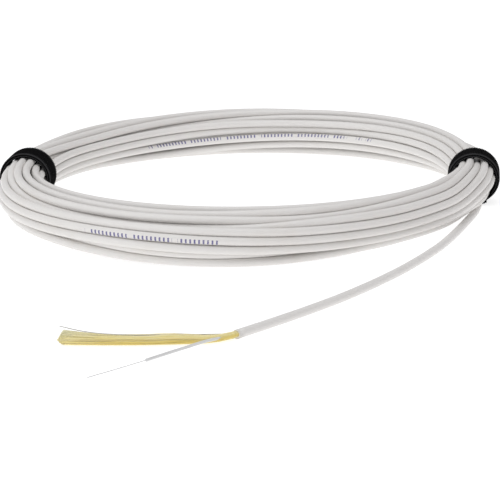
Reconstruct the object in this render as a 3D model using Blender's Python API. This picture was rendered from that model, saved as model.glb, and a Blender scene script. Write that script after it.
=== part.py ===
"""Coil of indoor fibre optic cable with two hook-and-loop ties and one stripped end.

The coil lies flat on the floor. Its bundle of turns is held round at the two
ties, on the left and right, and spreads between them, in front and behind.
One end of the cable leaves the bundle at the right tie, runs over the floor
to the front left, and is stripped there: aramid yarn, a thin pull thread and
the tight-buffered fibre come out of the jacket.

Lengths are in metres, +Z is up, and the camera's side is -Y. Shapes are built
about the coil's own centre and moved at the end, so that the origin lies
under the middle of the whole object.
"""

import math

import bmesh
import bpy
from mathutils import Vector

# Cable
CABLE_DIAMETER = 0.0028
BUFFER_DIAMETER = 0.0009
FIBRE_DIAMETER = 0.00025
THREAD_DIAMETER = 0.0003

# Coil: mean radius of the bundle, and how far it is out of round
COIL_RADIUS = 0.0838
TIE_PULL = 0.0016
DIAGONAL_STRETCH = 0.0046
BACK_SHIFT = 0.0008

# Bundle: round at the ties, wider and lower between them
BUNDLE_DIAMETER = 0.0150
FRONT_WIDTH = 0.0205
BACK_WIDTH = 0.0220
FRONT_TOP = 0.0182
BACK_TOP = 0.0191
DIAGONAL_SPREAD = 0.0050
TURNS_ROUND_BUNDLE = 14
TURN_GROOVE = 0.00045
SPREAD_POWER = 0.8

# Where the free end passes under the bundle it lifts it, as seen from the centre
TAIL_LIFT = 0.0009
TAIL_CROSSING = math.radians(-15.0)
TAIL_CROSSING_HALF = math.radians(13.0)

# Hook-and-loop ties: one strap each, wound onto itself
STRAP_WIDTH = 0.0120
STRAP_THICKNESS = 0.00065
STRAP_LAYER_GAP = 0.00015
STRAP_WRAPS = 1.75
STRAP_OUTER_END = math.radians(300.0)
TIE_CLEARANCE = 0.0004
TIE_FLAT = 0.00015

# Stripped end
YARN_LENGTH_TO_FULL = 0.028
YARN_START_THICKNESS = 0.0008
YARN_THICKNESS = 0.0021
YARN_START_WIDTH = 0.0019
YARN_WIDTH = 0.0078
YARN_FLOOR_GAP = 0.00003

# Fineness of the round shapes
COIL_STATIONS = 72
POINTS_PER_TURN_LOBE = 4
STRAP_STATIONS_PER_WRAP = 48
YARN_SIDES = 12

# Routes on the floor: x and y from the middle of the bundle in the right tie,
# and the height of the centreline, in millimetres
TAIL_ROUTE = (
    (1.9, -6.8, 1.58), (0.9, -10.4, 1.50), (-0.3, -15.9, 1.42), (-2.0, -22.4, 1.42),
    (-4.0, -28.7, 1.42), (-6.1, -35.0, 1.42), (-10.2, -47.1, 1.42), (-14.6, -59.2, 1.42),
    (-19.0, -70.1, 1.42), (-23.1, -78.8, 1.42), (-27.2, -87.0, 1.42), (-34.8, -100.9, 1.42),
    (-42.2, -112.9, 1.42), (-49.0, -123.0, 1.42), (-55.4, -131.9, 1.42), (-61.7, -139.9, 1.42),
    (-67.8, -147.3, 1.42), (-73.6, -154.0, 1.42), (-78.9, -160.0, 1.42), (-82.8, -164.3, 1.42),
    (-85.6, -167.4, 1.42),
)
YARN_ROUTE = (
    (-86.0, -167.8), (-87.7, -169.3), (-90.3, -170.5), (-93.6, -171.2), (-97.2, -171.5),
    (-102.2, -171.8), (-107.9, -172.0), (-113.5, -172.1), (-119.1, -172.1), (-127.6, -172.0),
    (-136.7, -171.6),
)
BUFFER_ROUTE = (
    (-85.95, -167.75, 1.75), (-88.7, -169.9, 1.76), (-91.5, -172.2, 1.80), (-94.2, -174.2, 1.62),
    (-97.0, -176.0, 1.25), (-99.7, -177.8, 0.86), (-102.5, -179.9, 0.61), (-105.2, -182.4, 0.49),
    (-108.1, -185.5, 0.47), (-110.9, -188.6, 0.47),
)
FIBRE_ROUTE = (
    (-111.2, -188.9, 0.47), (-115.0, -192.5, 0.38), (-118.6, -195.8, 0.28), (-122.4, -199.2, 0.19),
    (-125.9, -202.5, 0.15),
)
THREAD_ROUTE = (
    (-86.6, -167.1, 1.35), (-89.3, -168.4, 1.45), (-93.2, -169.4, 1.62), (-97.5, -170.0, 1.82),
    (-102.3, -170.6, 2.12), (-107.0, -171.2, 2.34), (-111.8, -171.8, 2.52), (-116.6, -172.0, 2.60),
    (-121.1, -171.9, 2.61), (-125.9, -171.1, 2.70), (-131.1, -169.5, 3.00), (-136.7, -167.0, 3.50),
)
TUBE_STEP = 2.2
THIN_TUBE_STEP = 3.0
MILLIMETRE = 0.001

WHITE_JACKET = (0.80, 0.80, 0.81, 1.0)
BLACK_STRAP = (0.012, 0.012, 0.013, 1.0)
YELLOW_ARAMID = (0.78, 0.62, 0.22, 1.0)
WHITE_BUFFER = (0.86, 0.86, 0.85, 1.0)
CLEAR_FIBRE = (0.75, 0.76, 0.76, 1.0)
GREY_THREAD = (0.42, 0.42, 0.42, 1.0)

# Height of the bundle's middle, at the ties, over the floor
strap_pitch = STRAP_THICKNESS + STRAP_LAYER_GAP
tie_bore_radius = BUNDLE_DIAMETER / 2 + TIE_CLEARANCE
strap_start = STRAP_OUTER_END - STRAP_WRAPS * math.tau
wraps_at_bottom = (math.radians(270.0) - strap_start) / math.tau
tie_bottom_radius = tie_bore_radius + strap_pitch * wraps_at_bottom + STRAP_THICKNESS
bundle_height = tie_bottom_radius - TIE_FLAT
route_start = Vector((COIL_RADIUS - TIE_PULL, 0.0, 0.0))


def clear_scene():
    """Remove whatever the file already holds."""
    for thing in list(bpy.data.objects):
        bpy.data.objects.remove(thing, do_unlink=True)


def material(name, colour, roughness):
    """Return a plain Principled material."""
    mat = bpy.data.materials.new(name)
    mat.use_nodes = True
    shader = mat.node_tree.nodes["Principled BSDF"]
    shader.inputs["Base Color"].default_value = colour
    shader.inputs["Roughness"].default_value = roughness
    mat.diffuse_color = colour
    return mat


def mesh_object(name, rings, closed, mat):
    """Skin a row of rings of points: a closed loop, or a bar with two flat ends."""
    bm = bmesh.new()
    rows = [[bm.verts.new(point) for point in ring] for ring in rings]
    count = len(rows)
    sides = len(rows[0])
    for i in range(count if closed else count - 1):
        here, there = rows[i], rows[(i + 1) % count]
        for j in range(sides):
            k = (j + 1) % sides
            bm.faces.new((here[j], here[k], there[k], there[j]))
    if not closed:
        bm.faces.new(rows[0])
        bm.faces.new(rows[-1])
    bmesh.ops.recalc_face_normals(bm, faces=bm.faces)
    mesh = bpy.data.meshes.new(name)
    bm.to_mesh(mesh)
    bm.free()
    for face in mesh.polygons:
        face.use_smooth = len(face.vertices) == 4
    mesh.materials.append(mat)
    thing = bpy.data.objects.new(name, mesh)
    bpy.context.collection.objects.link(thing)
    return thing


def smooth_route(points, step):
    """Read evenly spaced points from a smooth curve through the route's points."""
    knots = [Vector(point) for point in points]
    knots = [2 * knots[0] - knots[1]] + knots + [2 * knots[-1] - knots[-2]]
    fine = []
    for a, b, c, d in zip(knots, knots[1:], knots[2:], knots[3:]):
        for n in range(24):
            t = n / 24
            fine.append(0.5 * (2 * b + (c - a) * t + (2 * a - 5 * b + 4 * c - d) * t * t
                               + (3 * b - a - 3 * c + d) * t ** 3))
    fine.append(knots[-2])
    lengths = [0.0]
    for a, b in zip(fine, fine[1:]):
        lengths.append(lengths[-1] + (b - a).length)
    pieces = max(2, round(lengths[-1] / step))
    out = []
    j = 0
    for n in range(pieces + 1):
        goal = lengths[-1] * n / pieces
        while j < len(fine) - 2 and lengths[j + 1] < goal:
            j += 1
        part = (goal - lengths[j]) / (lengths[j + 1] - lengths[j])
        out.append(fine[j].lerp(fine[j + 1], min(max(part, 0.0), 1.0)))
    return out


def tube(name, route, diameter, diameters_per_step, mat):
    """A cord's plain solid: a capped round tube along its route."""
    step = diameter / MILLIMETRE * diameters_per_step
    curve = bpy.data.curves.new(name, "CURVE")
    curve.dimensions = "3D"
    curve.bevel_depth = diameter / 2
    curve.bevel_resolution = 2
    curve.use_fill_caps = True
    curve.render_resolution_u = 0
    spline = curve.splines.new("POLY")
    places = smooth_route(route, step)
    spline.points.add(len(places) - 1)
    for point, place in zip(spline.points, places):
        point.co = (*(route_start + place * MILLIMETRE), 1.0)
    spline.use_smooth = True
    curve.materials.append(mat)
    thing = bpy.data.objects.new(name, curve)
    bpy.context.collection.objects.link(thing)
    return thing


def bundle_middle(angle):
    """Distance of the bundle's middle from the coil's centre. 0 is the right tie."""
    return (COIL_RADIUS - TIE_PULL * math.cos(2 * angle)
            + DIAGONAL_STRETCH * math.sin(2 * angle) + BACK_SHIFT * math.sin(angle))


def bundle_direction(angle):
    """Direction of the bundle, seen from above, at an angle about the centre."""
    nudge = 0.001
    a = bundle_middle(angle - nudge)
    b = bundle_middle(angle + nudge)
    before = Vector((a * math.cos(angle - nudge), a * math.sin(angle - nudge), 0.0))
    after = Vector((b * math.cos(angle + nudge), b * math.sin(angle + nudge), 0.0))
    return (after - before).normalized()


def bundle_section(angle):
    """Width, underside and top of the bundle at an angle about the coil's centre."""
    sine = math.sin(angle)
    in_tie = math.sin(0.7 * STRAP_WIDTH / COIL_RADIUS)
    spread = (max(0.0, abs(sine) - in_tie) / (1.0 - in_tie)) ** SPREAD_POWER
    wide, high = (BACK_WIDTH, BACK_TOP) if sine > 0 else (FRONT_WIDTH, FRONT_TOP)
    width = BUNDLE_DIAMETER + spread * (wide - BUNDLE_DIAMETER)
    width += spread * DIAGONAL_SPREAD * math.sin(2 * angle)
    low = (bundle_height - BUNDLE_DIAMETER / 2) * (1.0 - spread)
    from_tail = (angle - TAIL_CROSSING + math.pi) % math.tau - math.pi
    low += TAIL_LIFT * math.exp(-((from_tail / TAIL_CROSSING_HALF) ** 2))
    top = bundle_height + BUNDLE_DIAMETER / 2
    return width, low, top + spread * (high - top)


def build_coil(mat):
    """The bundle of turns: a ring whose skin shows the turns as lobes."""
    points = TURNS_ROUND_BUNDLE * POINTS_PER_TURN_LOBE
    rings = []
    for i in range(COIL_STATIONS):
        angle = math.tau * i / COIL_STATIONS
        width, low, top = bundle_section(angle)
        outward = Vector((math.cos(angle), math.sin(angle), 0.0))
        middle = outward * bundle_middle(angle) + Vector((0.0, 0.0, (low + top) / 2))
        ring = []
        for j in range(points):
            turn = math.tau * j / points
            groove = TURN_GROOVE * (0.5 + 0.5 * math.cos(TURNS_ROUND_BUNDLE * turn))
            across = (width / 2 - groove) * math.cos(turn)
            upward = ((top - low) / 2 - groove) * math.sin(turn)
            ring.append(middle + outward * across + Vector((0.0, 0.0, upward)))
        rings.append(ring)
    return mesh_object("cable_coil", rings, True, mat)


def build_tie(name, angle, mat):
    """A strap wound onto itself round the bundle, with a flat where it lies."""
    along = bundle_direction(angle)
    outward = Vector((math.cos(angle), math.sin(angle), 0.0))
    across = (outward - along * outward.dot(along)).normalized()
    middle = outward * bundle_middle(angle) + Vector((0.0, 0.0, bundle_height))
    stations = round(STRAP_WRAPS * STRAP_STATIONS_PER_WRAP)
    rings = []
    for i in range(stations + 1):
        wraps = STRAP_WRAPS * i / stations
        turn = strap_start + wraps * math.tau
        spoke = across * math.cos(turn) + Vector((0.0, 0.0, math.sin(turn)))
        inner = tie_bore_radius + strap_pitch * wraps
        outer = inner + STRAP_THICKNESS
        ring = []
        for radius, side in ((inner, -1), (outer, -1), (outer, 1), (inner, 1)):
            point = middle + spoke * radius + along * (side * STRAP_WIDTH / 2)
            point.z = max(point.z, 0.0)
            ring.append(point)
        rings.append(ring)
    return mesh_object(name, rings, False, mat)


def build_yarn(mat):
    """The aramid yarn: a soft flat bar that fans out from the jacket's end."""
    places = smooth_route([(x, y, 0.0) for x, y in YARN_ROUTE], 1.6)
    rings = []
    run = 0.0
    for i, place in enumerate(places):
        before = places[max(i - 1, 0)]
        after = places[min(i + 1, len(places) - 1)]
        along = (after - before).normalized()
        across = along.cross(Vector((0.0, 0.0, 1.0))).normalized()
        run += (place - before).length * MILLIMETRE
        share = min(1.0, run / YARN_LENGTH_TO_FULL)
        width = YARN_START_WIDTH + (YARN_WIDTH - YARN_START_WIDTH) * share ** 0.6
        thick = YARN_START_THICKNESS + (YARN_THICKNESS - YARN_START_THICKNESS) * share
        middle = route_start + place * MILLIMETRE
        middle.z = YARN_FLOOR_GAP + thick / 2
        ring = []
        for j in range(YARN_SIDES):
            turn = math.tau * j / YARN_SIDES
            offset = across * (width / 2 * math.cos(turn))
            offset += Vector((0.0, 0.0, thick / 2 * math.sin(turn)))
            ring.append(middle + offset)
        rings.append(ring)
    return mesh_object("aramid_yarn", rings, False, mat)


def stand_on_origin(things):
    """Move everything so that the origin is under the middle of the whole object."""
    bpy.context.view_layer.update()
    graph = bpy.context.evaluated_depsgraph_get()
    low = [math.inf] * 3
    high = [-math.inf] * 3
    for thing in things:
        shape = thing.evaluated_get(graph)
        mesh = shape.to_mesh()
        for vertex in mesh.vertices:
            for axis in range(3):
                low[axis] = min(low[axis], vertex.co[axis])
                high[axis] = max(high[axis], vertex.co[axis])
        shape.to_mesh_clear()
    shift = Vector((-(low[0] + high[0]) / 2, -(low[1] + high[1]) / 2, -low[2]))
    for thing in things:
        if thing.type == "CURVE":
            for point in thing.data.splines[0].points:
                point.co = (*(point.co.xyz + shift), 1.0)
        else:
            for vertex in thing.data.vertices:
                vertex.co += shift


def main():
    clear_scene()
    jacket = material("white_jacket", WHITE_JACKET, 0.45)
    strap = material("black_strap", BLACK_STRAP, 0.9)
    things = [
        build_coil(jacket),
        build_tie("tie_right", 0.0, strap),
        build_tie("tie_left", math.pi, strap),
        tube("cable_tail", TAIL_ROUTE, CABLE_DIAMETER, TUBE_STEP, jacket),
        build_yarn(material("yellow_aramid", YELLOW_ARAMID, 0.6)),
        tube("buffered_fibre", BUFFER_ROUTE, BUFFER_DIAMETER, THIN_TUBE_STEP,
             material("white_buffer", WHITE_BUFFER, 0.4)),
        tube("bare_fibre", FIBRE_ROUTE, FIBRE_DIAMETER, 2 * THIN_TUBE_STEP,
             material("clear_fibre", CLEAR_FIBRE, 0.25)),
        tube("pull_thread", THREAD_ROUTE, THREAD_DIAMETER, 2 * THIN_TUBE_STEP,
             material("grey_thread", GREY_THREAD, 0.7)),
    ]
    stand_on_origin(things)


main()
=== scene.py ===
import math

import bmesh
import bpy
import numpy as np
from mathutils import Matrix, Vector


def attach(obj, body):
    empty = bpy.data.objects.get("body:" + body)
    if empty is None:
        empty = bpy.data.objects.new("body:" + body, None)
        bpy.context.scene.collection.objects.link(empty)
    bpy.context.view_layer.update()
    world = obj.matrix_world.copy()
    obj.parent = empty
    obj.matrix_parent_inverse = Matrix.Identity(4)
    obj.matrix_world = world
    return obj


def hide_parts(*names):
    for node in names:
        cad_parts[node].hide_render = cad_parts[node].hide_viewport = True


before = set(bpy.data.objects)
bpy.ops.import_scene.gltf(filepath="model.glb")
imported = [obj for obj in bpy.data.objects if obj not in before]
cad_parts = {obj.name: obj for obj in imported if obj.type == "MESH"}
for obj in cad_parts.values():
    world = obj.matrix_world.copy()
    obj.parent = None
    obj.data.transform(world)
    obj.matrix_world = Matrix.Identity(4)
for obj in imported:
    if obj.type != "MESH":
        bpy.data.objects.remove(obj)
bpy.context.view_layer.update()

bl_info = {
    "name": "Coiled Fibre Patch Cord",
    "version": (1, 0, 0),
    "blender": (4, 5, 0),
    "location": "3D View > Sidebar > Patch Cord",
    "description": "Builds a coil of indoor fibre cable with two straps and one stripped end",
    "category": "Add Mesh",
}

MILLIMETRE = 0.001

# Where the coil lies. The routes of the free end are measured from the right tie's middle.
COIL_CENTRE = Vector((-0.000047, 0.05243, 0.0))
TIE_FROM_CENTRE = 0.0822

# Sizes of the cable and of what comes out of its stripped end, in metres.
CABLE_DIAMETER = 0.0028
JACKET_WALL = 0.0005
BUFFER_DIAMETER = 0.0009
FIBRE_DIAMETER = 0.00025
THREAD_DIAMETER = 0.0003

# Distances between the points along the finished lines.
CABLE_STEP = 0.003
BUFFER_STEP = 0.0005
FIBRE_STEP = 0.0004
THREAD_STEP = 0.00012
YARN_STEP = 0.0041

# The cut ends: the jacket's rounded rim and the step down to the yarn, and the same step in the
# buffer's end, down to the fibre.
RIM_WIDTH = 0.00012
RIM_DEPTH = 0.00008
JACKET_BORE_STEP = 0.00003
JACKET_BORE_DEPTH = 0.0012
BUFFER_END_WALL = 0.00022
BUFFER_BORE_STEP = 0.00004
BUFFER_BORE_DEPTH = 0.00015

# The thread's plies: their number, the length of one twist, and each ply's distance from the
# middle and radius as shares of the thread's diameter.
THREAD_PLIES = 3
THREAD_TWIST = 0.0007
PLY_OFFSET = 0.25
PLY_RADIUS = 0.27

# Faces round these pieces.
BUFFER_SIDES = 16
FIBRE_SIDES = 10
PLY_SIDES = 6
FILAMENT_SIDES = 4

# The bundle of turns, as the CAD has it.
COIL_RADIUS = 0.0838
TIE_PULL = 0.0016
DIAGONAL_STRETCH = 0.0046
BACK_SHIFT = 0.0008
BUNDLE_DIAMETER = 0.0150
BUNDLE_HEIGHT = 0.009733
FRONT_WIDTH = 0.0205
BACK_WIDTH = 0.0220
FRONT_TOP = 0.0182
BACK_TOP = 0.0191
DIAGONAL_SPREAD = 0.0050
SPREAD_POWER = 0.8
HELD_BESIDE_TIE = 0.7

# Where the turns lie a little off that bundle: spread out on the floor in front, and drawn in
# before the right tie.
FRONT_SPLAY = 0.0055
FRONT_FLAT = 3.0
SPLAY_ANGLE = math.radians(-106.0)
SPLAY_REACH = math.radians(50.0)
RIGHT_PULL = 0.0012
PULL_ANGLE = math.radians(-22.0)
PULL_REACH = math.radians(18.0)

# How the turns lie in the bundle: their number, the places round the coil where each is worked
# out, and the spots of its core and of the ring round it, in the ties and where it is loose.
TURNS = 21
SLOTS = 120
START_ANGLE = math.radians(-6.0)
TWIST_IN_LEFT_TIE = math.radians(-13.0)
SPOT_OF_TAIL = math.radians(-69.0)
CORE_TURNS_IN_TIE = 8
CORE_SPOTS_IN_TIE = 7
CORE_TURNS_LOOSE = 6
CORE_SPOTS_LOOSE = 6
OUTER_SPOTS_IN_TIE = 14
OUTER_SPOTS_LOOSE = 15.5
OUTER_RING_IN_TIE = 0.0064
MIDDLE_RING_IN_TIE = 0.00325
INNER_RING_LOOSE = 0.45
TIE_ROOM = 0.0065
TURN_CLEARANCE = 0.00003
WANDER = 0.0009
WANDER_WAVES = 3
WANDER_SEED = 5

# How the turns settle: the rounds, the share of them after which the turns are only smoothed
# and kept apart, and how strongly a round pulls a turn to its goal, smooths it, and moves it off
# the other turns and the free end. The free end lies beside them from one angle to another. No
# distance that is divided by is smaller than the tiny one.
SETTLING_ROUNDS = 500
LATE_SHARE = 0.8
GOAL_PULL = 0.02
SMOOTHING = 0.35
LATE_SMOOTHING = 0.06
PUSH_OFF_TURNS = 0.42
PUSH_OFF_TAIL = 0.9
TAIL_BESIDE_FROM = math.radians(-60.0)
TAIL_BESIDE_MARGIN = 0.03
TINY = 1e-6

# Where the ink shows: the turn, the angles round the coil where it starts and stops, and the
# side of the jacket that it is on, measured up from the coil's inner side. The angles and the
# side are in degrees.
INK_RUNS = (
    (17, -121.0, -95.0, 195.0),
    (9, -237.0, -299.0, 50.0),
    (9, -304.0, -308.0, 50.0),
)

# In radians: how far past a run of ink the jacket keeps its side, and how far it turns on itself
# over its whole length.
INK_MARGIN = 0.1
JACKET_TWIST = 40.0

# The ticks: the half share of their pitch that is inked, and half the length of a group of them,
# with and without its gap.
TICK_SHARE = 0.2
TICK_GROUP_HALF = 0.0075
TICK_GROUP_INKED = 0.0066

# The hook-and-loop straps, as the CAD has them.
STRAP_WIDTH = 0.012
STRAP_THICKNESS = 0.00065
STRAP_PITCH = 0.0008
STRAP_BORE_RADIUS = 0.0079
STRAP_WRAPS = 1.75
STRAP_START = math.radians(-330.0)

# What the straps have here alone: the inner lead, the woven ribs with their points along each,
# the round edges as a share of half the thickness, the points of the section along a flat side
# and round an edge, and how far out and up in it the painted highlight on each edge starts. The
# bundle's direction in a tie is taken between two angles a little aside of it, in radians.
STRAP_LEAD = math.radians(70.0)
STRAP_RIB_PITCH = 0.00055
STRAP_RIB_DEPTH = 0.00030
STATIONS_PER_RIB = 4
STRAP_EDGE_ROUND = 0.9
STRAP_FLAT_POINTS = 8
STRAP_EDGE_POINTS = 5
HIGHLIGHT_OUT = 0.99
HIGHLIGHT_UP = 0.55
STRAP_ASIDE = 0.001

# Routes of the free end in millimetres: right of, behind and above the right tie's middle. The
# yarn's height follows from its outline. The last turn ends at places out from the bundle's
# middle and up, where the free end starts.
TAIL_ROUTE = (
    (0.2, -13.5, 2.35), (-1.1, -19.0, 1.74), (-3.0, -25.5, 1.48), (-6.1, -35.0, 1.42),
    (-10.2, -47.1, 1.42), (-14.6, -59.2, 1.42), (-19.0, -70.1, 1.42),
    (-23.1, -78.8, 1.42), (-27.2, -87.0, 1.42), (-34.8, -100.9, 1.42),
    (-42.2, -112.9, 1.42), (-49.0, -123.0, 1.42), (-55.4, -131.9, 1.42),
    (-61.7, -139.9, 1.42), (-67.8, -147.3, 1.42), (-73.6, -154.0, 1.42),
    (-78.9, -160.0, 1.42), (-82.8, -164.3, 1.42), (-86.4, -168.3, 1.42),
)
LAST_TURN_END = ((2.30, 3.74), (2.33, 3.70), (2.40, 3.62), (2.50, 3.44), (2.62, 3.08))
YARN_ROUTE = (
    (-84.6, -166.5), (-86.0, -167.8), (-87.7, -169.3), (-90.3, -170.5), (-93.6, -171.2),
    (-97.2, -171.5), (-102.2, -171.8), (-107.9, -172.0), (-113.5, -172.1),
    (-119.1, -172.1), (-127.6, -172.0), (-136.7, -171.6),
)
BUFFER_ROUTE = (
    (-84.3, -166.0, 1.35), (-85.95, -167.75, 1.10), (-88.7, -169.9, 1.12),
    (-91.5, -172.2, 1.46), (-94.2, -174.2, 1.48), (-97.0, -176.0, 1.22),
    (-99.7, -177.8, 0.86), (-102.5, -179.9, 0.61), (-105.2, -182.4, 0.49),
    (-108.1, -185.5, 0.47), (-110.9, -188.6, 0.47),
)
FIBRE_ROUTE = (
    (-110.5, -188.15, 0.47), (-111.2, -188.9, 0.47), (-115.0, -192.5, 0.38),
    (-118.6, -195.8, 0.28), (-122.4, -199.2, 0.19), (-125.9, -202.5, 0.15),
)
THREAD_ROUTE = (
    (-84.9, -166.4, 1.9), (-86.7, -167.9, 1.95), (-89.3, -168.8, 1.80),
    (-93.2, -169.4, 1.85), (-97.5, -170.0, 2.0), (-102.3, -170.6, 2.25),
    (-107.0, -171.2, 2.30), (-111.8, -171.8, 2.35), (-116.6, -172.0, 2.45),
    (-121.1, -171.9, 2.61), (-125.9, -171.1, 2.70), (-131.1, -169.5, 3.00),
    (-136.7, -167.0, 3.50),
)

# The yarn's outline in millimetres: distance from its start, width, thickness.
YARN_OUTLINE = (
    (0.0, 1.75, 1.75), (3.0, 1.8, 1.8), (3.7, 2.2, 1.95), (5.8, 3.0, 1.75), (9.8, 4.2, 1.75),
    (13.0, 5.2, 1.95), (18.0, 6.4, 2.45), (23.0, 7.2, 2.45), (28.0, 7.6, 2.15),
    (40.0, 7.8, 2.05), (60.0, 7.8, 2.05),
)

# How the yarn lies: its gap to the floor, how far it starts above the cable's middle, the
# lengths over which it is held, drops and comes loose, how slanted its cut is, the share of that
# on the upper side, how uneven the cut is, and the most of the last step that it takes off.
YARN_FLOOR_GAP = 0.00003
YARN_START_LIFT = 0.0001
YARN_HELD_LENGTH = 0.003
YARN_DROP_LENGTH = 0.009
YARN_LOOSE_LENGTH = 0.02
YARN_TIP_SLOPE = 0.0019
YARN_TIP_UPPER = 0.5
YARN_TIP_UNEVEN = 0.0003
YARN_TIP_MOST = 0.95

# The thin veil that lifts off the yarn's end at its upper far side: its length, how gently it
# starts, its lift and spread, how high and far a filament lies that is in it, and the share of
# the lift that one takes, as the lowest draw and the power of the draw.
YARN_VEIL_LENGTH = 0.0135
YARN_VEIL_POWER = 1.4
YARN_VEIL_LIFT = 0.0014
YARN_VEIL_SPREAD = 0.0012
VEIL_SHARE_UP = 0.75
VEIL_SHARE_ACROSS = 0.65
VEIL_FROM = 0.25
VEIL_LOWEST_DRAW = 0.2
VEIL_DRAW_POWER = 0.7

# The filaments: how they fill the yarn, as a power of an even spread, how much they wave, drift
# and rise in it, as shares of its half width and half thickness, and how uneven their radii are.
YARN_SEED = 11
YARN_FILL_POWER = 0.3
FILAMENT_WAVE = 0.016
FILAMENT_DRIFT = 0.07
FILAMENT_RISE = 0.05
FILAMENT_UNEVEN = 0.25

# Their tones: how pale the middle ones are, how much paler the high ones are painted, as painted
# light from above, how scattered all are, how many are rosy and how much, and how frayed the
# least lifted ones are.
PALE_MIDDLE = 0.5
PAINTED_LIGHT_BY_HEIGHT = 0.4
PALE_SCATTER = 0.4
ROSY_FILAMENTS = 0.15
ROSY_SHARE = 0.55
LEAST_FRAYED = 0.25

# The view, fitted to the outline of the coil in the picture.
CAMERA_PLACE = (-0.0004, -0.6296, 0.1629)
CAMERA_PITCH = math.radians(14.9)
CAMERA_LENS = 136.56
SENSOR_WIDTH = 36.0
PICTURE_SIZE = 500

# The floor's half width, the light, and the lamps: name, place, aim, width, and share of the
# lamp power.
FLOOR_REACH = 4.0
SKY_COLOUR = (0.985, 0.973, 0.99, 1.0)
LAMP_COLOUR = (0.97, 0.99, 1.0)
LAMPS = (
    ("lamp_above", (-0.1, 0.0, 1.2), (0.0, 0.03, 0.0), 1.4, 1.0),
    ("lamp_left", (-1.1, -0.9, 0.8), (0.0, 0.0, 0.0), 1.0, 0.8),
)

# Where the turns that are in sight lie in the picture, in pixels. For each turn: the rows of its
# middle line at the columns, and how deep it lies there, from 0 on the bundle's skin to 1 under
# the turns beside it.
FRONT_COLUMNS = (60, 140, 220, 300, 380, 440)
FRONT_TURNS = {
    12: ((189, 206, 211, 208, 197, 182), (0.0, 0.0, 0.0, 0.0, 0.2, 0.2)),
    13: ((197, 213, 218, 215, 202, 187), (0.0, 0.0, 0.0, 0.0, 0.0, 0.0)),
    14: ((205, 220, 222, 218, 208, 194), (0.0, 0.0, 0.2, 0.7, 0.3, 0.1)),
    15: ((211, 224, 226, 225, 215, 201), (0.3, 0.9, 0.6, 0.1, 0.0, 0.0)),
    16: ((217, 228, 232, 232, 222, 209), (0.0, 0.0, 0.0, 0.0, 0.0, 0.0)),
    17: ((222, 235, 242, 241, 232, 217), (0.0, 0.0, 0.0, 0.0, 0.0, 0.0)),
    18: ((230, 245, 252, 250, 240, 222), (0.0, 0.0, 0.0, 0.0, 0.0, 0.0)),
    19: ((234, 253, 258, 253, 242, 225), (0.4, 0.1, 0.3, 0.9, 0.9, 0.9)),
    20: ((238, 260, 266, 259, 244, 221), (0.0, 0.0, 0.0, 0.0, 0.1, 0.4)),
}
# Columns and rows where the same turns run from the left tie, and on to the right tie.
FRONT_LEFT_ENDS = {
    12: ((34, 164), (35, 171), (39, 178), (47, 184)),
    13: ((26, 161), (26, 168), (29, 177), (35, 185), (43, 191)),
    14: ((18, 162), (17, 175), (21, 186), (28, 193), (38, 199), (47, 202)),
    15: ((10, 170), (10, 181), (14, 190), (21, 197), (30, 202), (41, 206)),
    16: ((4, 178), (4, 188), (8, 198), (15, 205), (28, 210), (40, 213)),
    17: ((2, 186), (4, 196), (9, 204), (17, 210), (28, 215), (40, 218)),
    18: ((2, 192), (7, 206), (14, 213), (25, 220), (40, 226)),
    19: ((4, 200), (10, 209), (20, 217), (30, 223), (45, 228)),
    20: ((4, 203), (10, 211), (20, 220), (30, 226), (45, 231)),
}
FRONT_RIGHT_ENDS = {
    12: ((450, 177), (455, 172), (458, 166)),
    13: ((450, 183), (458, 176), (463, 169), (465, 162)),
    14: ((450, 190), (460, 183), (468, 174), (472, 166), (473, 160)),
    15: ((452, 196), (464, 187), (473, 177), (479, 168), (481, 160)),
    16: ((455, 202), (466, 195), (476, 185), (483, 175), (488, 164)),
    17: ((456, 210), (469, 202), (479, 192), (486, 182), (490, 173)),
    18: ((458, 213), (472, 204), (481, 195), (487, 187), (491, 180)),
    19: ((458, 214), (471, 206), (480, 198), (486, 190)),
    20: ((458, 215), (470, 208), (478, 201), (484, 194), (488, 187)),
}
BACK_COLUMNS = (60, 140, 220, 300, 380, 440)
BACK_TURNS = {
    15: ((136, 117, 112, 112, 117, 131), (0.0, 0.1, 0.8, 0.9, 0.9, 0.6)),
    14: ((144, 121, 113, 113, 119, 133), (0.0, 0.0, 0.3, 0.6, 0.6, 0.4)),
    13: ((152, 128, 116, 112, 116, 130), (0.0, 0.0, 0.0, 0.0, 0.0, 0.0)),
    12: ((156, 132, 120, 117, 122, 135), (0.7, 0.8, 0.6, 0.1, 0.0, 0.0)),
    11: ((159, 135, 124, 124, 129, 141), (0.0, 0.0, 0.0, 0.0, 0.0, 0.0)),
    10: ((164, 142, 130, 129, 133, 149), (0.0, 0.0, 0.6, 0.8, 0.2, 0.0)),
    9: ((166, 151, 140, 136, 142, 159), (0.1, 0.0, 0.0, 0.0, 0.0, 0.0)),
    8: ((171, 159, 147, 143, 148, 166), (0.0, 0.0, 0.1, 0.1, 0.2, 0.2)),
    7: ((176, 160, 152, 150, 155, 172), (0.5, 0.6, 0.0, 0.0, 0.0, 0.0)),
}

# How such a turn finds its place: how far under the skin a depth of 1 is, as a share of the
# bundle's room, the directions that are tried, in degrees up from the coil's outer side, their
# step, the last one in front where the turns are loosest, the drawn line's step in pixels, and
# the slots in a row whose middle value is taken.
DEEPEST = 0.34
FRONT_SIGHT = (-76.0, 168.0)
BACK_SIGHT = (72.0, 262.0)
SIGHT_STEP = 1.0
CREST_LOOSE = 112.0
DRAWN_STEP = 1.5
SEEN_STEADY = 7

# Where the drawn lines start to count beside the ties, and over what distance they come to count
# in full, as shares of the coil's radius.
SEEN_FROM = 0.09
SEEN_OVER = 0.24


def millimetres(points):
    """Points of a route, in metres in the frame."""
    start = COIL_CENTRE + Vector((TIE_FROM_CENTRE, 0.0, 0.0))
    return np.array([start + Vector(p) * MILLIMETRE for p in points])


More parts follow.
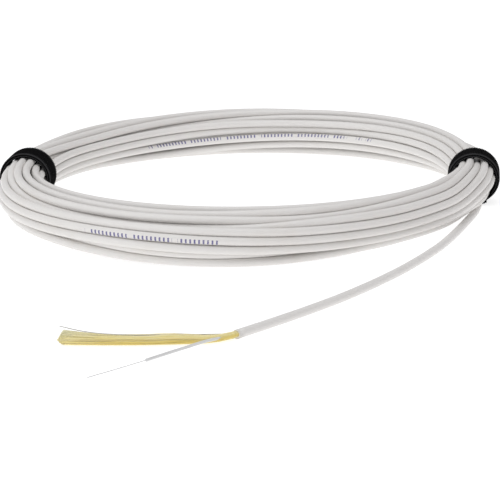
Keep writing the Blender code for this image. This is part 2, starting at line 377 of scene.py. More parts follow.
def smooth_line(points, step):
    """Evenly spaced points on a smooth curve through the given ones."""
    p = np.asarray(points, float)
    p = np.vstack([2 * p[0] - p[1], p, 2 * p[-1] - p[-2]])
    t = np.linspace(0.0, 1.0, 9)[:-1, None]
    parts = []
    for a, b, c, d in zip(p, p[1:], p[2:], p[3:]):
        parts.append(0.5 * (2 * b + (c - a) * t + (2 * a - 5 * b + 4 * c - d) * t**2
                            + (3 * b - a - 3 * c + d) * t**3))
    fine = np.vstack([*parts, p[-2:-1]])
    along = np.concatenate([[0.0], np.cumsum(np.linalg.norm(np.diff(fine, axis=0), axis=1))])
    at = np.linspace(0.0, along[-1], max(2, round(along[-1] / step) + 1))
    return np.stack([np.interp(at, along, fine[:, k]) for k in range(p.shape[1])], axis=1)


def directions(line):
    """Unit tangents, level sideways directions and upward directions along a line."""
    along = np.gradient(line, axis=0)
    along /= np.linalg.norm(along, axis=1)[:, None]
    side = np.cross(along, (0.0, 0.0, 1.0))
    side /= np.linalg.norm(side, axis=1)[:, None]
    return along, side, np.cross(side, along)


def lengths_along(line):
    """Distance of each point from the line's start."""
    return np.concatenate([[0.0], np.cumsum(np.linalg.norm(np.diff(line, axis=0), axis=1))])


def round_rings(line, radius, sides):
    """Rings of points round a line, the first point of each on its level side."""
    _, side, up = directions(line)
    turn = np.arange(sides) * math.tau / sides
    radius = np.broadcast_to(radius, len(line))[:, None, None]
    return line[:, None] + radius * (side[:, None] * np.cos(turn)[None, :, None]
                                     + up[:, None] * np.sin(turn)[None, :, None])


def fold_tubes(tubes, around=1.0, tones=None):
    """A bmesh of closed tubes, folded from one flat grid, and the faces that close their ends.

    A tube is an array of rings of points. The UV map runs round each tube in U and along it in
    V, both in metres. tones gives values for the mesh's own layers, one vector for each ring
    and side of each tube.
    """
    bm = bmesh.new()
    uv = bm.loops.layers.uv.verify()
    layers = {name: bm.verts.layers.float_vector.new(name) for name in tones or {}}
    sides = tubes[0].shape[1]
    rows = [len(rings) for rings in tubes]
    starts = np.concatenate([[0], np.cumsum(rows)])
    made = bmesh.ops.create_grid(bm, x_segments=sides, y_segments=sum(rows) - 1, size=1.0)
    made = made["verts"]
    long = np.concatenate([lengths_along(rings.mean(axis=1)) for rings in tubes])
    places = np.concatenate(tubes)
    places = np.concatenate([places, places[:, :1]], axis=1).reshape(-1, 3)
    for vert, place in zip(made, places.tolist()):
        vert.co = place
    for name, values in (tones or {}).items():
        layer = layers[name]
        wide = np.concatenate(values)
        wide = np.concatenate([wide, wide[:, :1]], axis=1).reshape(-1, 3)
        for vert, value in zip(made, wide.tolist()):
            vert[layer] = value
    bm.verts.index_update()
    for face in bm.faces:
        face.smooth = True
        for loop in face.loops:
            row, column = divmod(loop.vert.index, sides + 1)
            loop[uv].uv = (column / sides * around, long[row])
    bm.faces.ensure_lookup_table()
    between = [bm.faces[(start - 1) * sides + j] for start in starts[1:-1]
               for j in range(sides)]
    bmesh.ops.delete(bm, geom=between, context="FACES")
    bmesh.ops.remove_doubles(bm, verts=bm.verts, dist=1e-8)
    caps = bmesh.ops.holes_fill(bm, edges=[e for e in bm.edges if e.is_boundary], sides=0)
    first = Vector(tubes[0][0].mean(axis=0))
    caps = sorted(caps["faces"], key=lambda f: (f.calc_center_median() - first).length)
    return bm, caps


def finished(name, bm, material, slot, *nodes):
    """Makes the finished object of a bmesh, riding on the root body."""
    bmesh.ops.recalc_face_normals(bm, faces=bm.faces)
    mesh = bpy.data.meshes.new(name)
    bm.to_mesh(mesh)
    bm.free()
    if not mesh.polygons:
        raise RuntimeError(f"{name} came out empty")
    mesh.materials.append(material)
    piece = bpy.data.objects.new(name, mesh)
    bpy.context.scene.collection.objects.link(piece)
    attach(piece, "root")
    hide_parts(*nodes)
    return piece


def swell(angle, middle, reach):
    """1 at one angle round the coil, and 0 from a reach beside it."""
    off = (angle - middle + math.pi) % math.tau - math.pi
    return np.cos(np.clip(off / reach, -1.0, 1.0) * math.pi / 2) ** 2


def bundle_middle(angle):
    """Distance of the bundle's middle from the coil's centre. 0 is the right tie."""
    return (COIL_RADIUS - TIE_PULL * np.cos(2 * angle)
            + DIAGONAL_STRETCH * np.sin(2 * angle) + BACK_SHIFT * np.sin(angle)
            - RIGHT_PULL * swell(angle, PULL_ANGLE, PULL_REACH))


def bundle_spread(angle):
    """0 in the ties, and 1 half way between them, where the turns are loosest."""
    in_tie = math.sin(HELD_BESIDE_TIE * STRAP_WIDTH / COIL_RADIUS)
    return (np.maximum(0.0, np.abs(np.sin(angle)) - in_tie) / (1.0 - in_tie)) ** SPREAD_POWER


def bundle_room(angle):
    """Half width, half height and middle height that a turn's own middle may reach."""
    spread = bundle_spread(angle)
    behind = np.sin(angle) > 0
    wide = np.where(behind, BACK_WIDTH, FRONT_WIDTH)
    high = np.where(behind, BACK_TOP, FRONT_TOP)
    width = BUNDLE_DIAMETER + spread * (wide - BUNDLE_DIAMETER)
    width = width + spread * DIAGONAL_SPREAD * np.sin(2 * angle)
    width = width + FRONT_SPLAY * swell(angle, SPLAY_ANGLE, SPLAY_REACH)
    low = (BUNDLE_HEIGHT - BUNDLE_DIAMETER / 2) * (1.0 - spread)
    top = BUNDLE_HEIGHT + BUNDLE_DIAMETER / 2
    top = top + spread * (high - top)
    snug = (width - CABLE_DIAMETER) / 2
    tall = (top - low - CABLE_DIAMETER) / 2
    snug = snug + (1.0 - spread) * (TIE_ROOM - (BUNDLE_DIAMETER - CABLE_DIAMETER) / 2)
    tall = tall + (1.0 - spread) * (TIE_ROOM - (BUNDLE_DIAMETER - CABLE_DIAMETER) / 2)
    return snug, tall, (top + low) / 2


def room_power(angle, up):
    """2 where the turns' room is an ellipse, and more where they lie flat on the floor."""
    flat = FRONT_FLAT * swell(angle, SPLAY_ANGLE, SPLAY_REACH)
    return 2.0 + np.where(up < 0.0, flat, 0.0)


def eased(x):
    """A smooth step from 0 to 1."""
    x = np.clip(x, 0.0, 1.0)
    return x * x * (3.0 - 2.0 * x)


def laid_turns(share, core_turns, core_spots, outer_spots, core_ring, outer_ring, twist=0.0):
    """Places of turns that are laid as a core with a ring round it."""
    pitch = math.tau / outer_spots
    outer = SPOT_OF_TAIL + (TURNS - share) * pitch
    core = SPOT_OF_TAIL + (TURNS - core_turns) * pitch
    core = core + (core_turns - share) * math.tau / core_spots
    out = eased(share - core_turns + 1.0)
    turn = core + out * (outer - core) + twist
    reach = core_ring * eased(share) + out * (outer_ring - core_ring)
    return np.stack([reach * np.cos(turn), reach * np.sin(turn)], axis=1)


def first_places(share, angle):
    """Where each turn would lie if the bundle were laid by hand: out from its middle, and up.

    share counts the turns from the hidden end: the first ones are the bundle's core, and the
    later ones lie round them, next to each other. The last one leaves as the free end.
    """
    snug, tall, height = bundle_room(angle)
    spread = bundle_spread(angle)
    twist = TWIST_IN_LEFT_TIE * (1.0 - np.cos(angle)) / 2
    tied = laid_turns(share, CORE_TURNS_IN_TIE, CORE_SPOTS_IN_TIE, OUTER_SPOTS_IN_TIE,
                      MIDDLE_RING_IN_TIE, OUTER_RING_IN_TIE, twist)
    loose = laid_turns(share, CORE_TURNS_LOOSE, CORE_SPOTS_LOOSE, OUTER_SPOTS_LOOSE,
                       INNER_RING_LOOSE, 1.0)
    loose *= np.stack([snug, tall], axis=1)
    places = tied + (loose - tied) * spread[:, None]
    places[:, 1] += height
    return places


def in_picture(points):
    """Columns and rows of the picture where the camera sees points."""
    from_camera = points - np.array(CAMERA_PLACE)
    ahead = np.array((0.0, math.cos(CAMERA_PITCH), -math.sin(CAMERA_PITCH)))
    upward = np.array((0.0, math.sin(CAMERA_PITCH), math.cos(CAMERA_PITCH)))
    scale = CAMERA_LENS / SENSOR_WIDTH * PICTURE_SIZE / (from_camera @ ahead)
    middle = PICTURE_SIZE / 2
    return middle + from_camera[..., 0] * scale, middle - from_camera @ upward * scale


def round_bundle(angle, turn, reach):
    """Places out from the bundle's middle and up, at a turn round it and a share of its room."""
    snug, tall, height = bundle_room(angle)
    out, up = np.cos(turn), np.sin(turn)
    power = room_power(angle, up)
    reach = reach / (np.abs(out)**power + np.abs(up)**power)**(1.0 / power)
    return np.stack([reach * out * snug, height + reach * up * tall], axis=-1)


def on_coil(angle, places):
    """Points in the frame of places out from the bundle's middle and up."""
    out = bundle_middle(angle) + places[..., 0]
    return np.stack([COIL_CENTRE.x + out * np.cos(angle), COIL_CENTRE.y + out * np.sin(angle),
                     places[..., 1]], axis=-1)


def seen_places(goal, share, angle):
    """Moves the goals of the turns that are in sight to where the picture shows them."""
    goal = goal.copy()
    turn_number = np.floor(share - START_ANGLE / math.tau + 1e-6).astype(int)
    bands = ((FRONT_COLUMNS, FRONT_TURNS, FRONT_LEFT_ENDS, FRONT_RIGHT_ENDS, FRONT_SIGHT),
             (BACK_COLUMNS, BACK_TURNS, {}, {}, BACK_SIGHT))
    for columns, turns, left_ends, right_ends, (low, high) in bands:
        behind = turns is BACK_TURNS
        sight = np.radians(np.arange(low, high, SIGHT_STEP))[None]
        for number, (rows, depths) in turns.items():
            drawn = np.array([*left_ends.get(number, ()), *zip(columns, rows),
                              *right_ends.get(number, ())], float)
            run = lengths_along(drawn)
            at = np.arange(0.0, run[-1], DRAWN_STEP)
            drawn = np.stack([np.interp(at, run, drawn[:, k]) for k in range(2)], axis=1)

            here = np.flatnonzero((turn_number == number) & ((np.sin(angle) > 0) == behind))
            slot = angle[here][:, None]
            reach = np.ones((len(here), sight.shape[1]))
            for _ in range(2):
                column, row = in_picture(on_coil(slot, round_bundle(slot, sight, reach)))
                reach = 1.0 - DEEPEST * np.interp(column, columns, depths)
            miss = np.hypot(column[..., None] - drawn[:, 0], row[..., None] - drawn[:, 1])
            miss = miss.min(axis=2)
            if not behind:
                crest = np.radians(CREST_LOOSE + (high - CREST_LOOSE) * (1 - np.abs(np.sin(slot))))
                miss += np.where(sight > crest, PICTURE_SIZE, 0.0)
            best = np.argmin(miss, axis=1)
            pick = np.arange(len(here))
            place = round_bundle(angle[here], sight[0, best], reach[pick, best])
            side = SEEN_STEADY // 2
            place = np.pad(place, ((side, side), (0, 0)), mode="edge")
            place = np.lib.stride_tricks.sliding_window_view(place, SEEN_STEADY, axis=0)
            place = np.median(place, axis=-1)
            off_ties = np.abs(np.sin(angle[here])) - SEEN_FROM
            goal[here] += eased(off_ties / SEEN_OVER)[:, None] * (place - goal[here])
    return goal


def pushed_apart(gap):
    """What brings points that are less than a diameter apart to that distance."""
    far = np.maximum(np.linalg.norm(gap, axis=-1), TINY)[..., None]
    return gap * (np.maximum(0.0, CABLE_DIAMETER + TURN_CLEARANCE - far) / far)


def settled_turns():
    """The middle line of the wound length, with its turns lying beside and on each other.

    Each turn crosses the same slots round the coil. In every slot the turns are moved apart
    until they are a diameter from each other, inside the bundle and above the floor, while
    each stays smooth along its length.
    """
    count = TURNS * SLOTS + 1
    step = np.arange(count)
    angle = START_ANGLE - math.tau * step / SLOTS
    share = step / SLOTS
    snug, tall, height = bundle_room(angle)

    halves = -angle / math.pi
    half = np.floor(halves).astype(int)
    part = (halves - half)[:, None, None]
    waves = np.arange(1, WANDER_WAVES + 1)[None, None]
    chance = np.random.default_rng(WANDER_SEED)
    sway = chance.normal(size=(2 * TURNS + 2, 2, WANDER_WAVES))[half]
    sway = (sway * np.sin(math.pi * waves * part) / waves).sum(axis=2)
    goal = first_places(share, angle) + WANDER * sway
    goal = seen_places(goal, share, angle)

    tail = smooth_line(millimetres(TAIL_ROUTE), MILLIMETRE)
    tail_from = tail - np.array(COIL_CENTRE)
    tail_angle = np.arctan2(tail_from[:, 1], tail_from[:, 0])
    slots = angle[:SLOTS]
    beside = (slots <= tail_angle[0] + TAIL_BESIDE_MARGIN) & (slots > TAIL_BESIDE_FROM)
    order = np.argsort(tail_angle)
    tail_out = np.interp(slots, tail_angle[order], np.hypot(*tail_from[order, :2].T))
    tail_up = np.interp(slots, tail_angle[order], tail[order, 2])
    tail_place = np.stack([tail_out - bundle_middle(slots), tail_up], axis=1)[None]

    held = np.array(LAST_TURN_END) * MILLIMETRE
    places = goal.copy()
    floor = CABLE_DIAMETER / 2 + TURN_CLEARANCE
    for round_number in range(SETTLING_ROUNDS):
        late = round_number > LATE_SHARE * SETTLING_ROUNDS
        if not late:
            places += GOAL_PULL * (goal - places)
        bend = np.zeros_like(places)
        bend[1:-1] = (places[:-2] + places[2:]) / 2 - places[1:-1]
        places += (LATE_SMOOTHING if late else SMOOTHING) * bend

        for _ in range(2):
            rows = places[:-1].reshape(TURNS, SLOTS, 2)
            moved = pushed_apart(rows[:, None] - rows[None]).sum(axis=1) * PUSH_OFF_TURNS
            moved += pushed_apart(rows - tail_place) * beside[:, None] * PUSH_OFF_TAIL
            places[:-1] += moved.reshape(-1, 2)

            offset = np.stack([places[:, 0] / snug, (places[:, 1] - height) / tall], axis=1)
            power = room_power(angle, offset[:, 1])
            over = (np.abs(offset)**power[:, None]).sum(axis=1)**(1.0 / power)
            over = np.maximum(1.0, over)
            places[:, 0] = offset[:, 0] / over * snug
            places[:, 1] = height + offset[:, 1] / over * tall
            places[:, 1] = np.maximum(places[:, 1], floor)
            places[:2] = goal[:2]
            places[-len(held):] = held

    return on_coil(angle, places)


def cable_line():
    """The whole cable's middle line, from its hidden end through the coil to the cut end."""
    return smooth_line(np.vstack([settled_turns(), millimetres(TAIL_ROUTE)]), CABLE_STEP)


def jacket_layers(line, radius, sides):
    """The jacket's own layers: each point's place round and along it, and where ink shows."""
    from_centre = line - np.array(COIL_CENTRE)
    swept = START_ANGLE - np.unwrap(np.arctan2(from_centre[:, 1], from_centre[:, 0]))
    inked = np.zeros(len(line))
    facing = np.linspace(0.0, JACKET_TWIST, len(line))
    for turn_number, first, last, side in INK_RUNS:
        low, high = sorted(math.tau * turn_number + START_ANGLE - math.radians(end)
                           for end in (first, last))
        inked[(swept > low) & (swept < high)] = 1.0
        facing[(swept > low - INK_MARGIN) & (swept < high + INK_MARGIN)] = math.radians(side)
    angle = np.arange(sides)[None] * math.tau / sides - facing[:, None]
    along = np.broadcast_to(lengths_along(line)[:, None], angle.shape)
    wrap = np.stack([np.cos(angle) * radius, np.sin(angle) * radius, along], axis=2)
    ink = np.zeros_like(wrap)
    ink[..., 0] = inked[:, None]
    return {"jacket_wrap": [wrap], "ink_run": [ink]}


def yarn_filaments(count, diameter):
    """The yarn's filaments as tubes, and tones: how pale (partly painted light), how rosy, how
    frayed.
    """
    route = smooth_line(millimetres([(x, y, 0.0) for x, y in YARN_ROUTE]), YARN_STEP)
    _, side, _ = directions(route)
    along = lengths_along(route)
    distance, width, thick = np.array(YARN_OUTLINE).T * MILLIMETRE
    width = np.interp(along, distance, width)
    thick = np.interp(along, distance, thick)
    down = eased((along - YARN_HELD_LENGTH) / YARN_DROP_LENGTH)
    height = ((1 - down) * (CABLE_DIAMETER / 2 + YARN_START_LIFT)
              + down * (YARN_FLOOR_GAP + thick / 2))
    loose = np.clip(along / YARN_LOOSE_LENGTH, 0.0, 1.0)
    veil = np.clip((along - along[-1]) / YARN_VEIL_LENGTH + 1.0, 0.0, 1.0) ** YARN_VEIL_POWER
    steps = np.linspace(0.0, 1.0, len(route))
    chance = np.random.default_rng(YARN_SEED)
    filaments, tones = [], []
    for _ in range(count):
        turn = chance.uniform(0.0, math.tau)
        reach = chance.uniform(0.0, 1.0) ** YARN_FILL_POWER
        across, upward = reach * math.cos(turn), reach * math.sin(turn)
        wave = chance.normal(0.0, FILAMENT_WAVE, 2)
        phase = chance.uniform(0.0, math.tau, 2)
        out = across + chance.normal(0.0, FILAMENT_DRIFT) * steps
        for k in range(2):
            out = out + wave[k] * np.sin(math.tau * steps * (k + 1) + phase[k]) * loose
        up = upward + FILAMENT_RISE * np.sin(math.tau * steps + phase[0]) * loose
        size = np.maximum(1.0, np.hypot(out, up))
        line = route + side * (out / size * width / 2)[:, None]
        line[:, 2] = height + up / size * thick / 2

        high = upward * VEIL_SHARE_UP + across * VEIL_SHARE_ACROSS
        lift = max(0.0, high - VEIL_FROM) * chance.uniform(VEIL_LOWEST_DRAW, 1.0) ** VEIL_DRAW_POWER
        line[:, 2] += lift * YARN_VEIL_LIFT / (1.0 - VEIL_FROM) * veil
        line += side * (lift * YARN_VEIL_SPREAD * veil)[:, None]
        line[:, 2] = np.maximum(line[:, 2], diameter / 2 + YARN_FLOOR_GAP)
        slope = YARN_TIP_SLOPE * (YARN_TIP_UPPER if high > 0 else 1.0)
        short = slope * abs(high) + abs(chance.normal(0.0, YARN_TIP_UNEVEN))
        line[-1] += (line[-2] - line[-1]) * min(YARN_TIP_MOST, short / YARN_STEP)
        radius = diameter / 2 * chance.uniform(1.0 - FILAMENT_UNEVEN, 1.0 + FILAMENT_UNEVEN)

        tone = np.zeros((len(route), FILAMENT_SIDES, 3))
        # The high ones are painted paler as painted light from above, on top of a random scatter.
        pale = PALE_MIDDLE + PAINTED_LIGHT_BY_HEIGHT * high + chance.uniform(-PALE_SCATTER, PALE_SCATTER)
        tone[..., 0] = min(1.0, max(0.0, pale))
        tone[..., 1] = float(chance.uniform() < ROSY_FILAMENTS) * ROSY_SHARE
        tone[..., 2] = (veil * min(1.0, LEAST_FRAYED + lift))[:, None]
        filaments.append(round_rings(line, radius, FILAMENT_SIDES))
        tones.append(tone)
    return filaments, tones


def strap_section(width, thickness):
    """Points of a strap's section, across it and up in it, and which carry the painted highlight.
    """
    half = thickness / 2
    edge = half * STRAP_EDGE_ROUND
    flat = width / 2 - edge
    turns = np.linspace(0, math.pi, STRAP_EDGE_POINTS + 2)[1:-1]
    section = [(x, -half) for x in np.linspace(-flat, flat, STRAP_FLAT_POINTS)]
    section += [(flat + edge * math.sin(t), -half * math.cos(t)) for t in turns]
    section += [(x, half) for x in np.linspace(flat, -flat, STRAP_FLAT_POINTS)]
    section += [(-flat - edge * math.sin(t), half * math.cos(t)) for t in turns]
    section = np.array(section)
    # The outer corners of the edges, where the painted highlight goes.
    outside = np.abs(section[:, 0]) >= flat * HIGHLIGHT_OUT
    return section, outside & (section[:, 1] > edge * HIGHLIGHT_UP)


def wound_strap(settings, angle):
    """Rings along a strap that is wound round the bundle at an angle, and its painted highlight."""
    ends = [Vector((bundle_middle(a) * math.cos(a), bundle_middle(a) * math.sin(a), 0))
            for a in (angle - STRAP_ASIDE, angle + STRAP_ASIDE)]
    along = (ends[1] - ends[0]).normalized()
    outward = Vector((math.cos(angle), math.sin(angle), 0.0))
    across = (outward - along * outward.dot(along)).normalized()
    middle = COIL_CENTRE + outward * bundle_middle(angle)
    middle.z = BUNDLE_HEIGHT

    lead = STRAP_LEAD / math.tau
    long = math.tau * (STRAP_WRAPS * (STRAP_BORE_RADIUS + STRAP_PITCH * STRAP_WRAPS / 2)
                       + lead * STRAP_BORE_RADIUS)
    stations = round(long / (settings.rib_pitch / STATIONS_PER_RIB))
    wraps = np.linspace(-lead, STRAP_WRAPS, stations + 1)
    turn = STRAP_START + wraps * math.tau
    spoke = (np.array(across)[None] * np.cos(turn)[:, None]
             + np.array((0.0, 0.0, 1.0))[None] * np.sin(turn)[:, None])
    run = (wraps + lead) / (STRAP_WRAPS + lead) * long
    rib = settings.rib_depth / 2 * np.cos(run * math.tau / settings.rib_pitch)

    section, corner = strap_section(settings.width, settings.thickness)
    radius = STRAP_BORE_RADIUS + STRAP_PITCH * np.maximum(0.0, wraps) + settings.thickness / 2
    relief = np.where(section[:, 1] > 0, 1.0, 0.0)[None] * (rib[:, None] - settings.rib_depth / 4)
    place = radius[:, None] + section[None, :, 1] + relief
    rings = (np.array(middle)[None, None] + spoke[:, None] * place[..., None]
             + np.array(along)[None, None] * section[None, :, :1])
    rings[..., 2] = np.maximum(rings[..., 2], 0.0)
    # Painted highlight: marks the outer corners of the edges for a lighter grey.
    painted_highlight = np.zeros_like(rings)
    painted_highlight[..., 0] = corner
    return rings, painted_highlight


# Materials


def add_node(tree, kind, x, y, name="", **inputs):
    """A node with its place in the editor and its plain input values."""
    node = tree.nodes.new(kind)
    node.location = (x, y)
    node.label = name
    for key, value in inputs.items():
        node.inputs[key.replace("_", " ")].default_value = value
    return node


def texture_node(tree, kind, x, y, name, vector, **inputs):
    """A texture that reads a place from a socket."""
    node = add_node(tree, "ShaderNodeTex" + kind, x, y, name, **inputs)
    tree.links.new(vector, node.inputs["Vector"])
    return node


def layer_node(tree, x, y, layer, name):
    """One of the mesh's own layers: its vector, and the sockets of its three values."""
    source = add_node(tree, "ShaderNodeAttribute", x, y, name)
    source.attribute_name = layer
    parts = add_node(tree, "ShaderNodeSeparateXYZ", x + 200, y)
    tree.links.new(source.outputs["Vector"], parts.inputs["Vector"])
    return source.outputs["Vector"], parts.outputs


def math_node(tree, operation, x, y, a, b=None):
    """A Math node whose inputs are sockets or numbers."""
    node = tree.nodes.new("ShaderNodeMath")
    node.location = (x, y)
    node.operation = operation
    for socket, value in zip(node.inputs, (a, b)):
        if isinstance(value, (int, float)):
            socket.default_value = value
        elif value is not None:
            tree.links.new(value, socket)
    return node.outputs["Value"]


def effect_group(name, inputs, outputs):
    """An empty node group with its sockets."""
    group = bpy.data.node_groups.new(name, "ShaderNodeTree")
    for label, kind, value in inputs:
        socket = group.interface.new_socket(name=label, in_out="INPUT", socket_type=kind)
        if value is not None:
            socket.default_value = value
    for label, kind in outputs:
        group.interface.new_socket(name=label, in_out="OUTPUT", socket_type=kind)
    enter = group.nodes.new("NodeGroupInput")
    enter.location = (-900, 0)
    leave = group.nodes.new("NodeGroupOutput")
    leave.location = (700, 0)
    return group, enter, leave


def extruded_plastic_group():
    """Fine grain and long faint marks of extruded plastic, as a shade and a height."""
    name = "extruded_plastic"
    if name in bpy.data.node_groups:
        return bpy.data.node_groups[name]
    group, enter, leave = effect_group(
        name,
        [("Place", "NodeSocketVector", None), ("Wrap", "NodeSocketVector", None),
         ("Grain Size", "NodeSocketFloat", 0.0002)],
        [("Shade", "NodeSocketFloat"), ("Height", "NodeSocketFloat"),
         ("Soil", "NodeSocketFloat")])
    scale = math_node(group, "DIVIDE", -700, 200, 1.0, enter.outputs["Grain Size"])
    grain = texture_node(group, "Noise", -480, 260, "grain", enter.outputs["Place"], Detail=3.0,
                         Roughness=0.6)
    group.links.new(scale, grain.inputs["Scale"])
    stretch = add_node(group, "ShaderNodeVectorMath", -700, -40, "stretch along the length")
    stretch.operation = "MULTIPLY"
    stretch.inputs[1].default_value = (2600.0, 2600.0, 60.0)
    group.links.new(enter.outputs["Wrap"], stretch.inputs[0])
    drag = texture_node(group, "Noise", -480, -40, "die marks", stretch.outputs["Vector"],
                        Scale=1.0, Detail=2.0)
    soil = texture_node(group, "Noise", -480, -300, "handling", enter.outputs["Place"],
                        Scale=70.0, Detail=4.0, Roughness=0.65)
    soiled = add_node(group, "ShaderNodeMapRange", -240, -300, "soiled", From_Min=0.52,
                      From_Max=0.78)
    group.links.new(soil.outputs["Fac"], soiled.inputs["Value"])
    marks = math_node(group, "MULTIPLY", -240, -40, drag.outputs["Fac"], 0.6)
    height = math_node(group, "MULTIPLY_ADD", 0, 100, grain.outputs["Fac"], 0.4)
    group.links.new(marks, height.node.inputs[2])
    shade = math_node(group, "MULTIPLY_ADD", 0, -80, drag.outputs["Fac"], 0.5)
    half = math_node(group, "MULTIPLY", -240, 200, grain.outputs["Fac"], 0.5)
    group.links.new(half, shade.node.inputs[2])
    group.links.new(shade, leave.inputs["Shade"])
    group.links.new(height, leave.inputs["Height"])
    group.links.new(soiled.outputs["Result"], leave.inputs["Soil"])
    return group


def plastic_node(tree, grain_size, place, wrap):
    """The extruded plastic's shade, height and soil, with a grain of a size."""
    plastic = add_node(tree, "ShaderNodeGroup", -600, 200)
    plastic.node_tree = extruded_plastic_group()
    plastic.inputs["Grain Size"].default_value = grain_size
    tree.links.new(place, plastic.inputs["Place"])
    tree.links.new(wrap, plastic.inputs["Wrap"])
    return plastic.outputs


def new_material(name, **values):
    """A material with its Principled shader's own values set."""
    material = bpy.data.materials.new(name)
    material.use_nodes = True
    shader = material.node_tree.nodes["Principled BSDF"]
    shader.location = (600, 0)
    material.node_tree.nodes["Material Output"].location = (900, 0)
    for key, value in values.items():
        shader.inputs[key.replace("_", " ")].default_value = value
    return material, material.node_tree, shader


def tinted(colour, red, green, blue):
    """A colour with a share of each channel."""
    return (colour[0] * red, colour[1] * green, colour[2] * blue, 1.0)


def shade_mix(tree, x, y, factor, first, second):
    """A colour mix whose colours are values or sockets."""
    mix = tree.nodes.new("ShaderNodeMix")
    mix.data_type = "RGBA"
    mix.location = (x, y)
    for socket, value in ((mix.inputs["Factor"], factor), (mix.inputs["A"], first),
                          (mix.inputs["B"], second)):
        if isinstance(value, bpy.types.NodeSocket):
            tree.links.new(value, socket)
        else:
            socket.default_value = value
    return mix.outputs["Result"]


def bump(tree, shader, height, distance, strength=1.0):
    """Joins a height to the shader through a Bump node."""
    node = add_node(tree, "ShaderNodeBump", 380, -260, "relief", Distance=distance,
                    Strength=strength)
    tree.links.new(height, node.inputs["Height"])
    tree.links.new(node.outputs["Normal"], shader.inputs["Normal"])


def jacket_material(settings):
    """White jacket: satin extruded plastic, with a line of plain ink ticks on two turns."""
    material, tree, shader = new_material("white_jacket", Roughness=0.42, IOR=1.48,
                                          Subsurface_Weight=0.0)
    place = add_node(tree, "ShaderNodeTexCoord", -900, 200)
    wrap, split = layer_node(tree, -900, -150, "jacket_wrap", "round and along the cable")
    plastic = plastic_node(tree, 0.00022, place.outputs["Object"], wrap)
    base = settings.jacket_colour[:]
    dark = tinted(base, 0.93, 0.925, 0.91)
    soil = tinted(base, 0.90, 0.87, 0.82)
    colour = shade_mix(tree, -300, 300, plastic["Shade"], dark, base)
    soiled = math_node(tree, "MULTIPLY", -300, 80, plastic["Soil"], 0.35)
    colour = shade_mix(tree, -80, 300, soiled, colour, soil)

    _, runs = layer_node(tree, -900, -420, "ink_run", "where ink shows")
    facing = math_node(tree, "GREATER_THAN", -480, -160, split["X"], 0.0)
    across = math_node(tree, "ABSOLUTE", -480, -300, split["Y"])
    tall = math_node(tree, "LESS_THAN", -300, -300, across, settings.tick_height / 2)
    beat = math_node(tree, "PINGPONG", -480, -440, split["Z"], settings.tick_pitch / 2)
    bar = math_node(tree, "LESS_THAN", -300, -440, beat, settings.tick_pitch * TICK_SHARE)
    group_beat = math_node(tree, "PINGPONG", -480, -580, split["Z"], TICK_GROUP_HALF)
    grouped = math_node(tree, "LESS_THAN", -300, -580, group_beat, TICK_GROUP_INKED)
    mask = math_node(tree, "MULTIPLY", -120, -300, tall, bar)
    mask = math_node(tree, "MULTIPLY", 40, -300, mask, grouped)
    mask = math_node(tree, "MULTIPLY", 40, -420, mask, facing)
    mask = math_node(tree, "MULTIPLY", 200, -300, mask, runs["X"])
    faded = texture_node(tree, "Noise", -120, -560, "dry ink", place.outputs["Object"],
                         Scale=4200.0, Detail=2.0)
    worn = add_node(tree, "ShaderNodeMapRange", 60, -560, "", From_Min=0.25, From_Max=0.5,
                    To_Min=0.35, To_Max=0.95)
    tree.links.new(faded.outputs["Fac"], worn.inputs["Value"])
    mask = math_node(tree, "MULTIPLY", 200, -460, mask, worn.outputs["Result"])
    colour = shade_mix(tree, 380, 200, mask, colour, settings.ink_colour[:])
    tree.links.new(colour, shader.inputs["Base Color"])
    bump(tree, shader, plastic["Height"], 0.00003, 0.6)
    return material


def buffer_material(settings):
    """White tight buffer: smooth hard plastic."""
    material, tree, shader = new_material("white_buffer", Roughness=0.3, IOR=1.5)
    place = add_node(tree, "ShaderNodeTexCoord", -900, 200)
    plastic = plastic_node(tree, 0.0001, place.outputs["Object"], place.outputs["UV"])
    base = settings.buffer_colour[:]
    dark = tinted(base, 0.94, 0.94, 0.93)
    colour = shade_mix(tree, -300, 300, plastic["Shade"], dark, base)
    tree.links.new(colour, shader.inputs["Base Color"])
    bump(tree, shader, plastic["Height"], 0.00001, 0.5)
    return material


def fibre_material(settings):
    """Coated glass fibre: pale and glossy, a little clear."""
    material, tree, shader = new_material("coated_fibre", Roughness=0.12, IOR=1.5,
                                          Coat_Weight=0.6, Coat_Roughness=0.05)
    place = add_node(tree, "ShaderNodeTexCoord", -700, 200)
    noise = texture_node(tree, "Noise", -500, 200, "coating", place.outputs["Object"],
                         Scale=900.0, Detail=2.0)
    base = settings.fibre_colour[:]
    clear = tinted(base, 0.8, 0.8, 0.8)
    tree.links.new(shade_mix(tree, -250, 200, noise.outputs["Fac"], clear, base),
                   shader.inputs["Base Color"])
    return material


def thread_material(settings):
    """Grey twisted thread with a dull fibrous surface."""
    material, tree, shader = new_material("grey_thread", Roughness=0.8, Sheen_Weight=0.3,
                                          Sheen_Roughness=0.5)
    place = add_node(tree, "ShaderNodeTexCoord", -900, 200)
    noise = texture_node(tree, "Noise", -600, 200, "fibres", place.outputs["Object"],
                         Scale=9000.0, Detail=3.0)
    base = settings.thread_colour[:]
    dark = tinted(base, 0.55, 0.55, 0.55)
    tree.links.new(shade_mix(tree, -300, 200, noise.outputs["Fac"], dark, base),
                   shader.inputs["Base Color"])
    bump(tree, shader, noise.outputs["Fac"], 0.00004)
    return material


